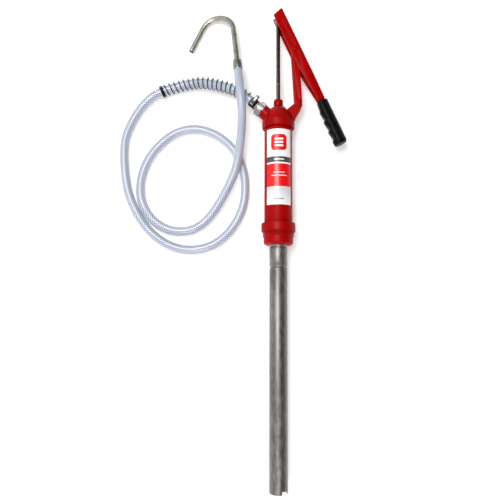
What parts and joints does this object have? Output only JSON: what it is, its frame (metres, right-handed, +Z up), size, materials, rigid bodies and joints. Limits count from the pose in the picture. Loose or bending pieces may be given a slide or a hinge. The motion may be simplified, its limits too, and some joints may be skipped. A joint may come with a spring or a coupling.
{
  "type": "hand lever drum pump",
  "caption": "Hand lever piston pump for oil drums, with a long suction tube, a bung adaptor, a gripped lever on a swinging link, and a clear braided delivery hose ending in a hooked spout.",
  "frame": {"origin": "on the floor, below the middle of the pump without its hose, as it lies flat", "axes": "+Y along the pump's axis from the suction tube's end to the lever's top, +X towards the lever's side, +Z up from the floor"},
  "size_m": [0.4423, 0.916, 0.0648],
  "materials": {
    "cast_red": "gloss red enamel over a fine-grained casting",
    "sheet_red": "smooth gloss red paint on pressed sheet steel",
    "label": "printed self-adhesive film, white, grey and red panels",
    "rubber": "black nitrile rubber",
    "nickel_steel": "satin nickel plate",
    "zinc_steel": "bright zinc plate",
    "clamp_steel": "dark rolled band",
    "spring_steel": "dark oil-tempered wire",
    "tube_steel": "dull mottled zinc on welded tube",
    "rod_steel": "ground bright steel",
    "brass": "machined brass",
    "grip_black": "dipped soft black plastic, satin",
    "clear_hose": "clear flexible hose with a fine woven reinforcement",
    "spout_steel": "dull zinc on bent tube"
  },
  "bodies": {
    "pump": {"bung_adaptor": "cast_red", "barrel": "cast_red", "base_gasket": "rubber", "head_gasket": "rubber", "label": "label", "pump_head": "cast_red", "gland_packing": "rubber", "gland_nut": "cast_red", "outlet_washer": "rubber", "union_nut": "nickel_steel", "hose_tail": "nickel_steel", "clamp_band": "clamp_steel", "clamp_housing": "zinc_steel", "clamp_screw": "zinc_steel", "suction_tube": "tube_steel", "tube_nipple": "tube_steel", "foot_valve_seat": "brass", "foot_valve_cage": "brass", "bracket_pin": "sheet_red", "hose": "clear_hose", "spring_guard": "spring_steel", "spout_collar": "zinc_steel", "spout_tube": "spout_steel"},
    "rod": {"piston_rod": "rod_steel", "rod_pin": "rod_steel", "valve_stop": "rod_steel", "piston_body": "brass", "piston_seal": "rubber", "piston_nut": "zinc_steel"},
    "piston_valve": {"piston_valve_disc": "rod_steel"},
    "foot_ball": {"foot_valve_ball": "rod_steel"},
    "link": {"link": "sheet_red"},
    "lever": {"lever": "sheet_red", "lever_pin": "sheet_red", "rod_pin_head_front": "sheet_red", "rod_pin_head_back": "sheet_red", "grip": "grip_black"}
  },
  "joints": [
    {"name": "link_swing", "type": "hinge", "parent": "pump", "child": "link", "pos_m": [0.00326, 0.26748, 0.0324], "axis": [0, 0, 1], "range_deg": [-21.1, 0.1]},
    {"name": "lever_swing", "type": "hinge", "parent": "link", "child": "lever", "pos_m": [-0.00324, 0.37548, 0.0324], "axis": [0, 0, 1], "range_deg": [0, 84]},
    {"name": "rod_slide", "type": "slide", "parent": "pump", "child": "rod", "axis": [0, -1, 0], "range_m": [-0.0002, 0.0667]},
    {"name": "piston_valve_lift", "type": "slide", "parent": "rod", "child": "piston_valve", "axis": [0, 1, 0], "range_m": [0, 0.003]},
    {"name": "foot_valve_lift", "type": "slide", "parent": "pump", "child": "foot_ball", "axis": [0, 1, 0], "range_m": [0, 0.008]}
  ],
  "couplings": [
    {"joint": "link_swing", "follows": "lever_swing", "ratio": -0.25},
    {"joint": "rod_slide", "follows": "lever_swing", "m_per_rad": 0.0453}
  ]
}
